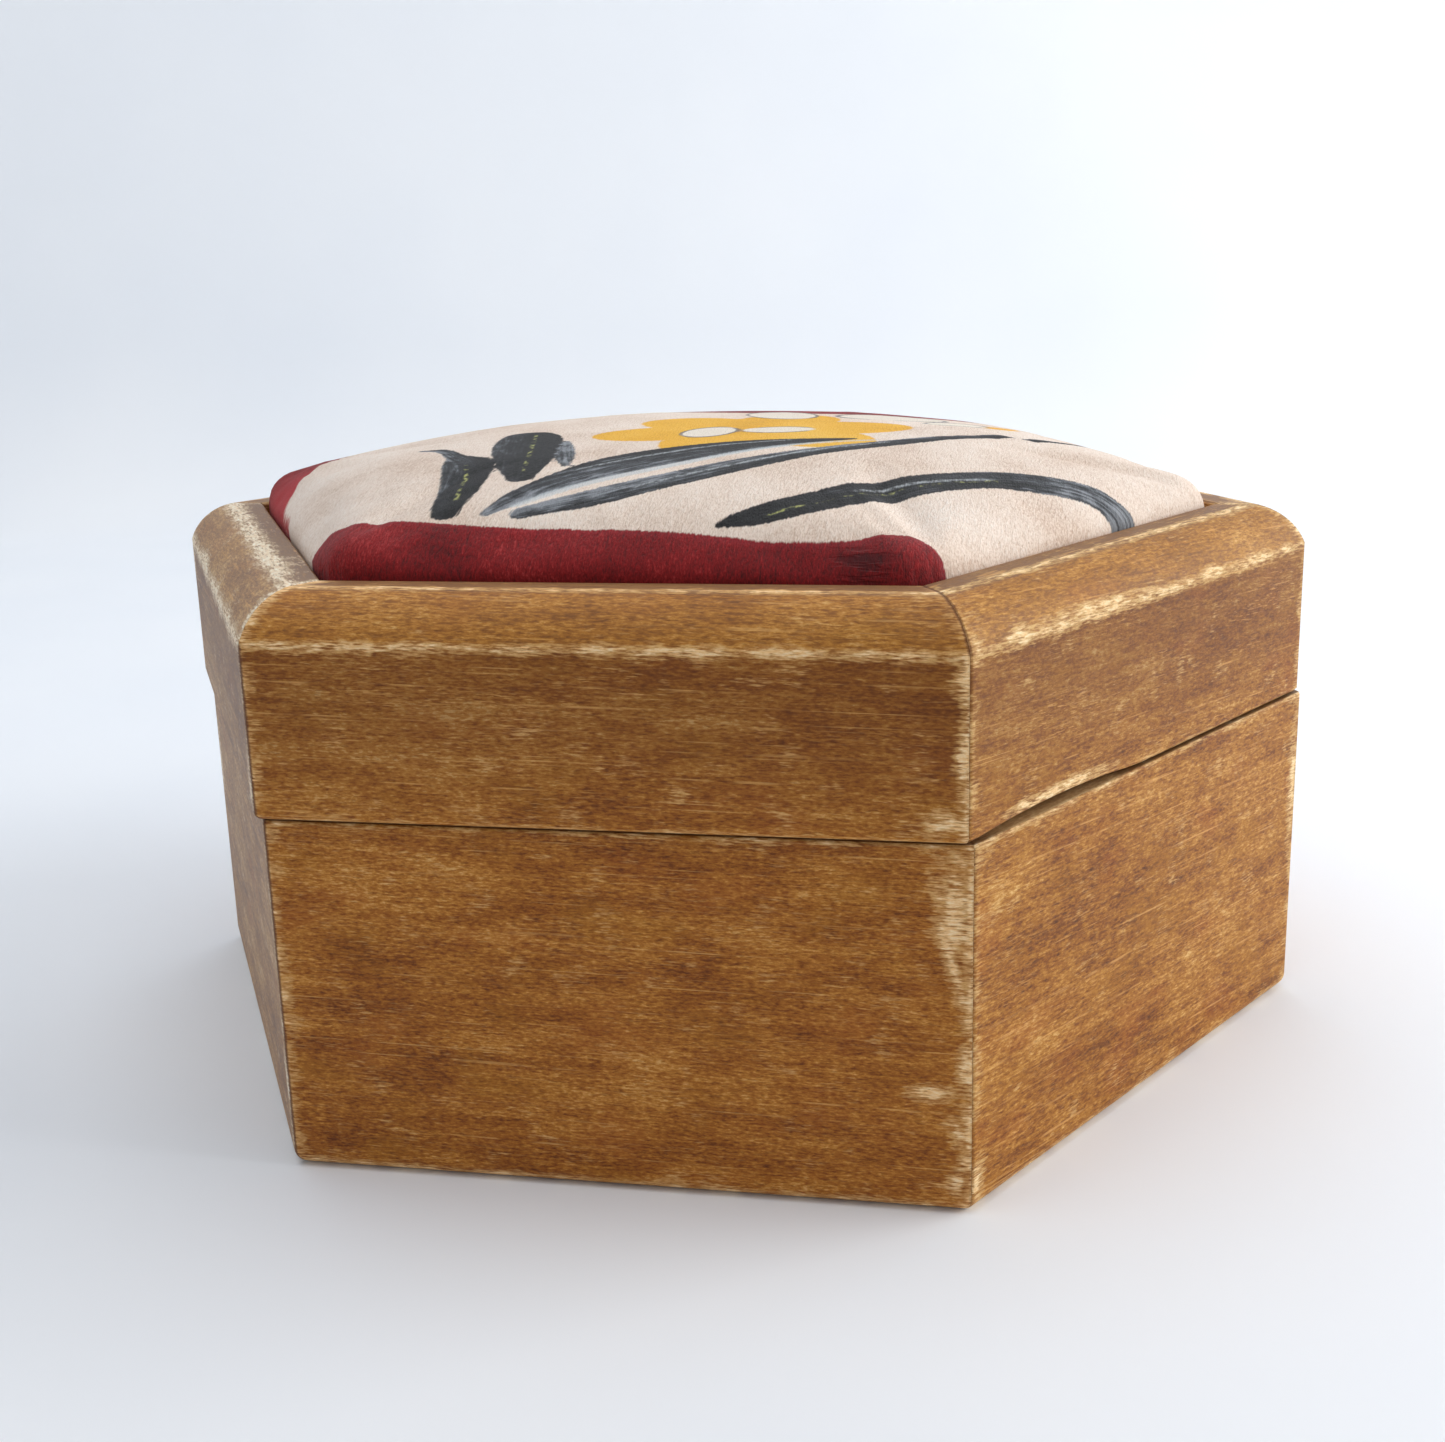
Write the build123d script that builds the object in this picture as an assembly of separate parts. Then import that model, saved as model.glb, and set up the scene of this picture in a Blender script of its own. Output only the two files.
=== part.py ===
from build123d import *
import math
import os

# A hexagonal wooden sewing box.  Its hinged lid carries a padded pincushion.
# Millimetres, +Z up, origin on the resting plane at the centre of the base.
# The hinges are on the back wall (+Y).  The finger scoop is in the front wall (-Y).

# ---- Box ----
SIDE = 70.0               # outer side of the hexagon
BOARD = 9.0               # thickness of the wall boards
BASE_HEIGHT = 38.0        # resting plane to the rim of the base
SEAM_GAP = 0.25           # between the rims of the base and the lid
RIM_HEIGHT = 60.6         # resting plane to the flat rim of the lid
LID_SHIFT = -0.9          # the lid sits this far along X from the base
CORNER_ROUND = 0.9        # upright corners, and the hips of the bevel
FOOT_ROUND = 1.9          # lower outer edge of the base
EDGE_EASE = 0.4           # edges along the seam
RIM_EASE = 0.3            # inner edges of both rims
GLUE_LINE = 0.04          # in each mitre, between two boards

# ---- Bevel round the top of the lid ----
BEVEL_IN = 5.4            # how far it reaches in across the top
BEVEL_DOWN = 4.6          # how far it reaches down the side
BEVEL_BULGE = 0.95        # how far it swells past a flat bevel

# ---- Finger scoop in the lower edge of the lid's front board ----
SCOOP_LENGTH = 35.0
SCOOP_HEIGHT = 1.0
SCOOP_DEPTH = 7.0         # it fades out this far behind the face
SCOOP_CENTRE = -19.5      # along X, from the middle of the lid

# ---- Plywood panels ----
PANEL = 3.0
PANEL_SLACK = 0.15        # round the edge of a panel, and above the lid panel
REBATE = 4.0              # width of the base's rebate: the bottom panel is flush in it
GROOVE_DEPTH = 3.0        # depth of the lid's groove
LID_PANEL_Z = 50.0        # underside of the lid panel

# ---- Pincushion ----
CUSHION_GAP = 0.4         # between the cover and the lid boards
CUSHION_CORNER = 4.0
CUSHION_BOARD = 2.5
COVER = 0.5               # thickness of the fabric
COVER_TURN_IN = 8.0       # fabric folded under the cushion board
DOME_HEIGHT = 9.6         # crown above the rim of the lid
DOME_SAG = 5.4            # fall from the crown to the middle of a side
DOME_SHOULDER = 3.8       # roundness where the crown meets the sides

# ---- Butt hinges ----
HINGE_SPACING = 38.0      # centre to centre
HINGE_WIDTH = 16.0
LEAF_HEIGHT = 10.0        # from the pin to the edge of a leaf
LEAF = 0.8                # thickness of a leaf
BARREL_RADIUS = 1.5
PIN_RADIUS = 0.6
PIN_PLAY = 0.05           # radial, in the lid's knuckle
PIN_PROUD = 0.3           # each end of the pin past the barrel
KNUCKLE = 5.2             # length of the lid's middle knuckle
KNUCKLE_PLAY = 0.15       # each side of it
LEAF_CLEAR = 0.3          # between a leaf and the other leaf's knuckle
LEAF_ROUND = 1.2          # outer corners of a leaf

# ---- Countersunk hinge screws ----
SCREW_HEAD_RADIUS = 1.7
SCREW_HEAD_HEIGHT = 0.8
SCREW_RADIUS = 0.8
SCREW_LENGTH = 6.5
SCREW_POINT = 1.6
SCREW_SLOT = 0.4
SCREW_SLOT_DEPTH = 0.35
SCREW_SPACING = 9.6
SCREW_DROP = 6.2          # from the pin to the screws

# ---- Worked-out sizes ----
APOTHEM = SIDE * math.sqrt(3) / 2
INNER = APOTHEM - BOARD
SEAM_TOP = BASE_HEIGHT + SEAM_GAP
PIN_Z = BASE_HEIGHT + SEAM_GAP / 2
PIN_Y = APOTHEM + BARREL_RADIUS
LID_PANEL_TOP = LID_PANEL_Z + PANEL
CROWN = RIM_HEIGHT + DOME_HEIGHT
TALL = 2 * RIM_HEIGHT     # taller than anything in the box

WALLS = ["front", "front_right", "back_right", "back", "back_left", "front_left"]
HINGES = {"left": -HINGE_SPACING / 2, "right": HINGE_SPACING / 2}


def save(shape, node):
    export_step(shape, f"parts/{node}.step")


def hexagon(apothem, corner=0.0):
    """A hexagon with flat sides facing -Y and +Y."""
    outline = RegularPolygon(apothem, 6, major_radius=False, rotation=30)
    outline = Rot(0, 0, flat_turn(outline)) * outline
    if corner > 0:
        outline = fillet(outline.vertices(), corner)
    return outline


def flat_turn(outline):
    """The turn that puts two corners of a hexagon on the X axis."""
    corner = outline.vertices()[0]
    return -math.degrees(math.atan2(corner.Y, corner.X)) % 60


def prism(outline, bottom, top):
    return Pos(0, 0, bottom) * extrude(outline, top - bottom)


def sector(taken_in=0.0):
    """The sixth of the box that holds the front wall, with both sides taken in."""
    reach = 2 * SIDE
    half = math.radians(30)
    wedge = make_face(
        Polyline(
            (0, 0),
            (-reach * math.sin(half), -reach * math.cos(half)),
            (reach * math.sin(half), -reach * math.cos(half)),
            close=True,
        )
    )
    return Pos(0, -taken_in / math.sin(half), 0) * prism(wedge, -1, TALL)


def square_board(section):
    """The front board before its corners are rounded.

    The section is drawn as (distance from the centre, height).
    """
    section_plane = Plane(origin=(0, 0, 0), x_dir=(0, -1, 0), z_dir=(-1, 0, 0))
    bar = extrude(section_plane * section, SIDE, both=True)
    return bar & sector()


def is_hip(edge, reach):
    """True for an edge on the line between two walls, outside reach."""
    for point in (edge @ 0, edge @ 0.5, edge @ 1):
        turn = math.degrees(math.atan2(point.Y, point.X)) % 60
        off_line = min(turn, 60 - turn)
        if off_line > 0.01 or math.hypot(point.X, point.Y) < reach:
            return False
    return True


def wall_ring(section, hip_depth):
    """All six walls in one piece, with their hips rounded to hip_depth behind the faces."""
    board = square_board(section)
    ring = board
    for turn in range(1, 6):
        ring = ring + Rot(0, 0, 60 * turn) * board
    reach = (APOTHEM - hip_depth) / math.cos(math.radians(30)) - 0.1
    hips = [edge for edge in ring.edges() if is_hip(edge, reach)]
    return fillet(hips, CORNER_ROUND)


def rebate():
    """The section of the rebate that holds the bottom panel."""
    return Pos(INNER, 0) * Rectangle(REBATE, PANEL, align=(Align.MIN, Align.MIN))


def groove():
    """The section of the groove that holds the lid panel's edge."""
    tall = PANEL + PANEL_SLACK
    return Pos(INNER, LID_PANEL_Z) * Rectangle(GROOVE_DEPTH, tall, align=(Align.MIN, Align.MIN))


def base_section():
    board = Pos(INNER, 0) * Rectangle(BOARD, BASE_HEIGHT, align=(Align.MIN, Align.MIN))
    outer = board.vertices().sort_by(Axis.X)[-2:].sort_by(Axis.Y)
    board = fillet(outer[0], FOOT_ROUND)
    top = board.vertices().sort_by(Axis.Y)[-2:].sort_by(Axis.X)
    board = fillet(top[-1], EDGE_EASE)
    top = board.vertices().sort_by(Axis.X)[:2].sort_by(Axis.Y)
    board = chamfer(top[-1], RIM_EASE)
    return board - rebate()


def bevel_middle():
    """The highest point of the convex bevel."""
    chord = math.hypot(BEVEL_IN, BEVEL_DOWN)
    return (
        APOTHEM - BEVEL_IN / 2 + BEVEL_BULGE * BEVEL_DOWN / chord,
        RIM_HEIGHT - BEVEL_DOWN / 2 + BEVEL_BULGE * BEVEL_IN / chord,
    )


def lid_section():
    bevel_foot = (APOTHEM, RIM_HEIGHT - BEVEL_DOWN)
    bevel_head = (APOTHEM - BEVEL_IN, RIM_HEIGHT)
    outline = [
        Line((APOTHEM - EDGE_EASE, SEAM_TOP), (APOTHEM, SEAM_TOP + EDGE_EASE)),
        Line((APOTHEM, SEAM_TOP + EDGE_EASE), bevel_foot),
        ThreePointArc(bevel_foot, bevel_middle(), bevel_head),
        Line(bevel_head, (INNER + RIM_EASE, RIM_HEIGHT)),
        Line((INNER + RIM_EASE, RIM_HEIGHT), (INNER, RIM_HEIGHT - RIM_EASE)),
        Line((INNER, RIM_HEIGHT - RIM_EASE), (INNER, SEAM_TOP)),
        Line((INNER, SEAM_TOP), (APOTHEM - EDGE_EASE, SEAM_TOP)),
    ]
    return make_face(outline) - groove()


def finger_scoop():
    """A shallow arch that is deepest at the face and fades out inside the board."""
    radius = (SCOOP_LENGTH ** 2 / 4 + SCOOP_HEIGHT ** 2) / (2 * SCOOP_HEIGHT)
    tilt = math.degrees(math.atan2(SCOOP_HEIGHT, SCOOP_DEPTH))
    drum = Rot(90, 0, 0) * Cylinder(radius, 3 * BOARD)
    drum = Rot(-tilt, 0, 0) * Pos(0, 0, SCOOP_HEIGHT - radius) * drum
    lowest = Box(2 * radius, 6 * BOARD, 2 * radius, align=(Align.CENTER, Align.CENTER, Align.MAX))
    return Pos(SCOOP_CENTRE, -APOTHEM, SEAM_TOP) * (drum - Pos(0, 0, -EDGE_EASE) * lowest)


def wall_set(ring):
    """The ring cut at its mitres into six boards, by wall name."""
    board = ring & sector(GLUE_LINE / 2)
    return {name: Rot(0, 0, 60 * turn) * board for turn, name in enumerate(WALLS)}


def panel(edge_depth, bottom):
    """A plywood panel whose edge reaches edge_depth into the boards."""
    size = INNER + edge_depth - PANEL_SLACK
    return prism(hexagon(size), bottom, bottom + PANEL)


def cushion_body(inset, bottom):
    """The cushion's domed outer shape, taken in by inset on the top and sides."""
    crown = CROWN - inset
    reach = INNER - CUSHION_GAP
    radius = (reach ** 2 + DOME_SAG ** 2) / (2 * DOME_SAG)
    block = prism(hexagon(reach - inset, CUSHION_CORNER - inset), bottom, TALL)
    ball = Rot(90, 0, 0) * Sphere(radius)  # its poles and seam stay clear of the crown
    dome = block & Pos(0, 0, crown - radius) * ball
    edges = dome.edges().filter_by(lambda edge: edge.center().Z > bottom + 1)
    shoulder = [edge for edge in edges if edge.geom_type != GeomType.LINE]
    return fillet(shoulder, DOME_SHOULDER - inset)


def cushion_board():
    size = INNER - CUSHION_GAP - COVER
    bottom = LID_PANEL_TOP + COVER
    return prism(hexagon(size, CUSHION_CORNER - COVER), bottom, bottom + CUSHION_BOARD)


def cushion_wadding():
    return cushion_body(COVER, LID_PANEL_TOP + COVER + CUSHION_BOARD)


def cushion_cover():
    """The fabric: over the dome, down the sides and folded under the board."""
    skin = cushion_body(0, LID_PANEL_TOP) - cushion_body(COVER, LID_PANEL_TOP + COVER)
    window = prism(hexagon(INNER - CUSHION_GAP - COVER_TURN_IN), 0, LID_PANEL_TOP + COVER)
    return skin - window


def screw():
    """A countersunk screw with its head at the origin, pointing along -Z."""
    head_foot = -SCREW_HEAD_HEIGHT
    shank_end = SCREW_POINT - SCREW_LENGTH
    outline = Polyline(
        (0, 0),
        (SCREW_HEAD_RADIUS, 0),
        (SCREW_RADIUS, head_foot),
        (SCREW_RADIUS, shank_end),
        (0, -SCREW_LENGTH),
        close=True,
    )
    return revolve(Plane.XZ * make_face(outline), Axis.Z)


def screw_slot():
    long = 4 * SCREW_HEAD_RADIUS
    return Box(long, SCREW_SLOT, 2 * SCREW_SLOT_DEPTH)


def screw_places(side):
    """Screw heads on the outer face of one leaf row: side is 1 on the lid, -1 on the base."""
    places = []
    for middle in HINGES.values():
        for half in (-0.5, 0.5):
            x = middle + half * SCREW_SPACING
            spot = Pos(x, APOTHEM + LEAF, PIN_Z + side * SCREW_DROP)
            places.append(spot * Rot(-90, 0, 0))
    return places


def hinge_screws(side):
    """Slotted screws; each slot lies at its own angle."""
    screws = []
    for number, place in enumerate(screw_places(side)):
        slot = Rot(0, 0, 25 + 47 * number) * screw_slot()
        screws.append(place * (screw() - slot))
    return screws


def screw_holes(side):
    return [place * screw() for place in screw_places(side)]


def knuckle_bar(length):
    return Rot(0, 90, 0) * Cylinder(BARREL_RADIUS, length)


def leaf_web(length):
    """The strip that joins a knuckle to its leaf."""
    tall = BARREL_RADIUS + LEAF_CLEAR
    web = Box(length, LEAF, tall, align=(Align.CENTER, Align.MIN, Align.MIN))
    return Pos(0, -BARREL_RADIUS, 0) * web


def leaf_plate():
    """The flat of a leaf, standing above the pin."""
    foot = BARREL_RADIUS + LEAF_CLEAR
    block = Box(HINGE_WIDTH, LEAF, LEAF_HEIGHT - foot, align=(Align.CENTER, Align.MIN, Align.MIN))
    plate = Pos(0, -BARREL_RADIUS, foot) * block
    corners = plate.edges().filter_by(Axis.Y).sort_by(Axis.Z)[-2:]
    return fillet(corners, LEAF_ROUND)


def pin_bore(radius):
    return Rot(0, 90, 0) * Cylinder(radius, 2 * HINGE_WIDTH)


def lid_leaf():
    leaf = leaf_plate() + leaf_web(KNUCKLE) + knuckle_bar(KNUCKLE)
    return leaf - pin_bore(PIN_RADIUS + PIN_PLAY)


def base_leaf():
    side = (HINGE_WIDTH - KNUCKLE) / 2 - KNUCKLE_PLAY
    leaf = leaf_plate()
    for place in (-1, 1):
        x = place * (HINGE_WIDTH - side) / 2
        leaf = leaf + Pos(x, 0, 0) * (leaf_web(side) + knuckle_bar(side))
    return mirror(leaf - pin_bore(PIN_RADIUS), Plane.XY)


def hinge_pin():
    """A plain pin with its ends rounded over."""
    pin = Rot(0, 90, 0) * Cylinder(PIN_RADIUS, HINGE_WIDTH + 2 * PIN_PROUD)
    ends = pin.edges().filter_by(GeomType.CIRCLE)
    return fillet(ends, PIN_PROUD)


def build_base():
    boards = wall_set(wall_ring(base_section(), FOOT_ROUND))
    boards["back"] = boards["back"] - screw_holes(-1)
    for name, board in boards.items():
        save(board, f"base_wall_{name}")
    save(panel(REBATE, 0), "base_bottom_panel")
    save(Compound(children=hinge_screws(-1)), "hinge_screws_base")


def build_lid():
    shift = Pos(LID_SHIFT, 0, 0)
    boards = wall_set(wall_ring(lid_section(), BEVEL_IN))
    boards["front"] = boards["front"] - finger_scoop()
    boards = {name: shift * board for name, board in boards.items()}
    boards["back"] = boards["back"] - screw_holes(1)
    for name, board in boards.items():
        save(board, f"lid_wall_{name}")
    save(shift * panel(GROOVE_DEPTH, LID_PANEL_Z), "lid_panel")
    save(shift * cushion_board(), "cushion_board")
    save(shift * cushion_wadding(), "cushion_wadding")
    save(shift * cushion_cover(), "cushion_cover")
    save(Compound(children=hinge_screws(1)), "hinge_screws_lid")


def build_hinges():
    for name, x in HINGES.items():
        place = Pos(x, PIN_Y, PIN_Z)
        save(place * base_leaf() - screw_holes(-1), f"hinge_{name}_base_leaf")
        save(place * lid_leaf() - screw_holes(1), f"hinge_{name}_lid_leaf")
        save(place * hinge_pin(), f"hinge_{name}_pin")


os.makedirs("parts", exist_ok=True)
build_base()
build_lid()
build_hinges()
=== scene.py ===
import math
from typing import NamedTuple

import bpy
import numpy as np
from mathutils import Matrix, Vector


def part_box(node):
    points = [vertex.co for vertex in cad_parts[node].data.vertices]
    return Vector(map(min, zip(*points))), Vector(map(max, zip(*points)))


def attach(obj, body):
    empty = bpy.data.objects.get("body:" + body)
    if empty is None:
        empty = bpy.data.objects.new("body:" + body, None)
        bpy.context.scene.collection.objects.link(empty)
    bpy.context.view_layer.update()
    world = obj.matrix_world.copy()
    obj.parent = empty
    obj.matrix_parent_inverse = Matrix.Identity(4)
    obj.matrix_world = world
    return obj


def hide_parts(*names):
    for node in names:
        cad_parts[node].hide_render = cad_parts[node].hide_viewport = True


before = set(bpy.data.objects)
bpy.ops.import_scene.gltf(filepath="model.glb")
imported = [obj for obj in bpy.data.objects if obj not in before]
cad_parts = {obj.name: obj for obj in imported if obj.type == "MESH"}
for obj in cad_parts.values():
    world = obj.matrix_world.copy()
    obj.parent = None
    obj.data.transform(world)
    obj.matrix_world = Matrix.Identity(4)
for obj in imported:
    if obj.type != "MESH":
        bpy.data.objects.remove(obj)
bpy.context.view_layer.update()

# A stained wooden sewing box, six-sided, with a padded pincushion let into its hinged lid.
# Blender works in metres.  Sizes here are in millimetres, and MM turns them into metres.
MM = 0.001
TAN30 = math.tan(math.radians(30))
COS30 = math.cos(math.radians(30))

# ---- Sizes that the frame gives ----
def low(node):
    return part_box(node)[0] / MM


def high(node):
    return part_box(node)[1] / MM


APOTHEM = -low("base_wall_front").y            # middle of the box to the face of a wall
BASE_TOP = high("base_wall_front").z           # rim of the base
LID_FOOT = low("lid_wall_front").z             # rim of the lid
RIM = high("lid_wall_front").z                 # flat top of the lid's boards
LID_SHIFT = (low("lid_panel").x + high("lid_panel").x) / 2
PANEL_TOP = high("lid_panel").z
CUSHION_REACH = -low("cushion_cover").y        # middle of the lid to the side of the cushion
BOARD_TOP = high("cushion_board").z

# ---- Wood ----
BOARD = 9.0                                    # thickness of a wall
BEVEL_IN = 5.4                                 # the bevel, in from the face of a wall
BEVEL_DOWN = 4.6                               # and down from the rim
SCOOP_PLACE = -19.5                            # the finger scoop's middle, along the front wall
SCOOP_HALF = 12.0                              # and half of its length
POOL_START = 23.0                              # where the pooled stain starts, below the bevel
POOL_END = 4.0                                 # and where it is fully dark


class Board(NamedTuple):
    """How one wall differs from the others.  Each pair is for its two ends."""

    tilt: float                                # of the grain, in degrees
    wear: tuple                                # at the corners
    line: tuple                                # how dark the mitre joint is
    hip_wear: tuple                            # the same on the bevel
    hip_line: tuple
    cast: tuple                                # what is added to red, green and blue: the stain's tint, and on back_left a painted grey-blue sheen
    gloss: float                               # how much light the stain reflects
    rub: float                                 # how broad the wear along the bevel is


BOARDS = {
    "front": Board(-2.6, (0.3, 0.4), (0.3, 0.6), (0.3, 0.6), (0.85, 0.3), (-8, 0, 4), 0.2, 1.25),
    "front_right": Board(1.4, (0.42, 0.7), (0.6, 0.5), (0.5, 0.4), (0.3, 0.6), (-8, 0, 6), 0.35, 1.1),
    "back_right": Board(-0.8, (0.55, 0.4), (0.5, 0.8), (0.6, 0.5), (0.6, 0.2), (-12, -4, 4), 0.4, 1.3),
    "back": Board(0.9, (0.45, 0.66), (0.8, 0.6), (0.4, 0.5), (0.2, 0.5), (-8, 0, 6), 0.4, 1.0),
    # back_left's cast is painted sheen: it greys and blues the wood for the reflection its face shows
    # at a grazing angle
    "back_left": Board(2.0, (0.6, 0.42), (0.6, 0.9), (0.5, 0.8), (0.5, 0.0), (-6, 17, 44), 0.6, 2.2),
    "front_left": Board(-1.1, (0.46, 0.8), (0.9, 0.3), (0.8, 0.3), (0.0, 0.85), (0, 0, 0), 0.24, 1.15),
}
# Patches rubbed down to bare wood: along the board, up, half length, half height, lean.
BASE_PATCHES = {
    "front_left": [(34.0, 36.0, 1.5, 1.9, -0.6), (33.2, 25.4, 1.1, 6.2, -0.30),
                   (33.2, 31.5, 2.4, 6.0, 0.0), (34.4, 17.0, 1.2, 6.0, 0.1),
                   (31.4, 13.0, 3.4, 1.1, 0.4), (33.6, 8.6, 1.6, 2.4, -0.4),
                   (33.8, 3.4, 1.6, 2.2, 0.2)],
    "front": [(34.0, 27.0, 1.6, 9.0, 0.0), (-34.0, 4.0, 1.6, 3.0, 0.0)],
    "front_right": [(-33.5, 30.0, 2.6, 5.0, 0.2), (31.5, 8.0, 4.0, 2.6, 0.5),
                    (33.5, 22.0, 2.0, 7.0, -0.2)],
    "back_right": [(-32.5, 14.0, 3.6, 6.0, -0.3), (33.0, 33.0, 3.4, 2.6, 0.4)],
    "back": [(33.5, 20.0, 2.4, 8.0, 0.2), (-33.0, 6.0, 3.4, 3.0, -0.4)],
    "back_left": [(-33.0, 26.0, 3.0, 7.0, 0.2), (34.2, 10.0, 1.6, 6.0, 0.0)],
}
LID_PATCHES = {
    "front_left": [(32.6, 40.0, 4.4, 1.8, 0.7), (34.4, 46.0, 0.9, 6.0, 0.0),
                   (33.6, 55.8, 2.6, 0.9, 0.0)],
    "front": [(-33.6, 56.4, 2.2, 2.0, 0.3), (-27.0, 56.4, 5.5, 0.8, 0.0), (4.0, 60.1, 16.0, 0.8, 0.0),
              (SCOOP_PLACE, 39.7, 11.0, 0.8, 0.0), (-12.0, 56.6, 12.0, 0.8, 0.0),
              (12.0, 56.3, 8.0, 0.7, 0.0)],
    "front_right": [(-32.0, 42.0, 4.2, 2.2, 0.5), (12.0, 56.6, 9.0, 0.8, 0.0),
                    (33.6, 52.0, 2.0, 4.0, 0.0)],
    "back_right": [(32.6, 44.0, 3.6, 4.0, -0.4), (-20.0, 56.7, 7.0, 0.8, 0.0)],
    "back": [(-33.0, 47.0, 3.0, 4.0, 0.3), (4.0, 56.7, 10.0, 0.7, 0.0)],
    "back_left": [(33.6, 42.0, 2.2, 3.0, 0.0), (-14.0, 56.6, 11.0, 1.0, 0.0),
                  (-33.5, 54.0, 1.8, 3.0, 0.0)],
}

# ---- Pincushion ----
DOME_HEIGHT = 6.75                             # crown above the rim, before the stuffing swells
DOME_SAG = 2.0                                 # fall from the crown to the middle of a side
DOME_CURVE = 2.45                              # over 2, the crown is flatter and the sides steeper
DOME_SHOULDER = 4.0                            # roundness where the crown meets the sides
CROWN_PLACE = (-0.8, 3.2)                      # the highest point, from the middle of the lid
CUSHION_CORNER = 4.0                           # roundness of its corners, seen from above
COVER = 0.45                                   # thickness of the fabric
TURN_IN = 7.5                                  # fabric folded under the cushion board
FABRIC_STEP = 1.4                              # size of the cover's triangles before they are divided
PUSH = 11.0                                    # pressure of the stuffing on the fabric
PUSH_FRAMES = 20                               # after which the fabric has settled
HELD_BELOW = 0.3                               # the fabric is held from here down, below the rim
STUFFING_GAP = 1.3                             # from the fabric's inside to the stuffing
STUFFING_STEP = 1.6                            # size of its faces
REST_GAP = 0.02                                # under a soft piece, so that it touches nothing
GATHER_DEPTH = 0.28                            # of the small pleats beside each corner
GATHER_STEP = 1.7                              # from one pleat to the next
GATHER_REACH = 9.0                             # along the side, from the corner
GATHER_TOP = 3.2                               # where they start, above the rim
GATHER_FADE = 3.0                              # and how far down they reach their full depth
CREPE_TURN = math.radians(30)                  # the way that the crepe's ribs run

# ---- The print, in millimetres from the middle of the lid ----
# A brush stroke is a list of points, each with half of the stroke's width there.
LEAVES = {
    "small": [(-26, 24, 0.3), (-26, 20, 0.8), (-29.5, 13.5, 1.2), (-32.6, 8.0, 2.9), (-37.4, 3.0, 2.7),
              (-42.6, -1.4, 2.2), (-47.8, -5.4, 1.5)],
    "broad": [(-14.6, 17.0, 3.0), (-17.4, 14, 3.9), (-23.0, 8.6, 4.0), (-29.6, 2.0, 3.2),
              (-35.8, -4.0, 1.5)],
    "broad_side": [(-17.4, 7.8, 0.5), (-21.6, 3.8, 1.2), (-26, -0.8, 1.1), (-29.6, -4.6, 0.4)],
    "long_back": [(-45.8, -9.5, 0.7), (-40.6, -9.2, 1.9), (-33.7, -9.2, 3.0), (-25.8, -9.6, 4.2),
                  (-18, -11.0, 4.3), (-10, -13.7, 3.4), (-4, -17.1, 1.9), (1, -20.5, 0.5)],
    "long_front": [(-44, -12.8, 1.3), (-37.2, -16.6, 2.3), (-28.6, -19.2, 2.5), (-18.8, -21.0, 2.4),
                   (-9, -23.0, 1.9), (2, -25.6, 1.5), (13, -27.8, 1.2), (25, -30.4, 0.8),
                   (34, -33.6, 0.3)],
    "hooked": [(-35.6, -31.8, 0.5), (-32.2, -33.6, 1.9), (-27.6, -35.3, 2.5), (-19.8, -37.2, 2.7),
               (-11.0, -39.3, 2.7), (-3.2, -42.2, 2.6), (2.4, -45.2, 2.6), (6.4, -48.2, 2.4),
               (8.8, -51.4, 2.1)],
    "far": [(-13, 41, 0.4), (-7, 40.6, 1.4), (-1, 41.6, 1.9), (6, 45, 1.6), (10, 49.4, 0.5)],
}
# How grey each leaf is, from 0, charcoal, to 1: at its start, at its end, and by how much its
# left side is greyer than its right.
LEAF_TONES = {
    "small": (0.75, 0.1, -0.34), "broad": (0.30, 0.12, -0.30), "broad_side": (0.95, 0.8, 0.0),
    "long_back": (0.85, 0.15, -0.20), "long_front": (0.75, 0.25, 0.30), "hooked": (-0.1, 0.85, 0.0),
    "far": (0.3, 0.7, 0.0),
}
VEINS = {
    "small": [(-33.2, 7.6), (-36.4, 4), (-40.5, 0.2), (-45.4, -4.2)],
    "broad": [(-14, 16.4), (-20, 10.6), (-28, 3.0), (-33.6, -2.2)],
    "hooked": [(-31.6, -34.4), (-27, -35.8), (-19.4, -37.8), (-10.8, -39.8), (-3, -42.8)],
}
# Pale wash that the brush left between and along the long leaves.
PALE_STROKES = {
    "between": [(-43, -10.8, 0.5), (-34, -12.6, 0.7), (-24, -14.9, 0.7), (-12, -16.6, 0.6),
                (-4, -19.4, 0.5), (2, -23, 0.3)],
    "back_vein": [(-31, -7, 0.1), (-22, -8.6, 0.2), (-12, -11, 0.2), (-4, -15.4, 0.1)],
    "front_vein": [(-33, -18.0, 0.1), (-22, -20.0, 0.2), (-10, -22.0, 0.2), (2, -25, 0.1)],
    "hook_vein": [(-3, -42.4, 0.1), (-11, -38.8, 0.2), (-20, -36.6, 0.1)],
}
FLOWER = (1.0, -5.6)                           # middle of the yellow flower
PETALS = 6
PETAL_REACH = 10.4                             # middle of the flower to the middle of a petal
PETAL_ROUND = 7.8                              # size of a petal
PETAL_TURN = 18.0                              # degrees from the right to the first petal
INNER_PETALS = [(-3.4, -2.4, 5.0, 3.1, 20), (2.6, -8.2, 4.4, 2.9, -44)]
WHITE_PETALS = [(24.5, -9, 7.0, 4.2, 120), (17.5, 3.4, 6.4, 4.2, 60), (25, -18.6, 4.6, 2.4, 160)]
YELLOW_DABS = [(29.5, -21.6, 3.6, 1.5, 160)]
PETAL_LINE = 0.3                               # the white petals lie over the red, with a fine outline
RED_FRONT = [(-62, 10), (-54.8, 8.0), (-53.4, 3.8), (-51.3, -2.4), (-47.5, -12.0), (-42.4, -21.8),
             (-38.3, -29.8), (-34.5, -38.0), (-30.8, -43.6), (-26.6, -46.8), (-25.0, -50), (-27, -60),
             (-40, -60), (-70, -10)]
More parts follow.
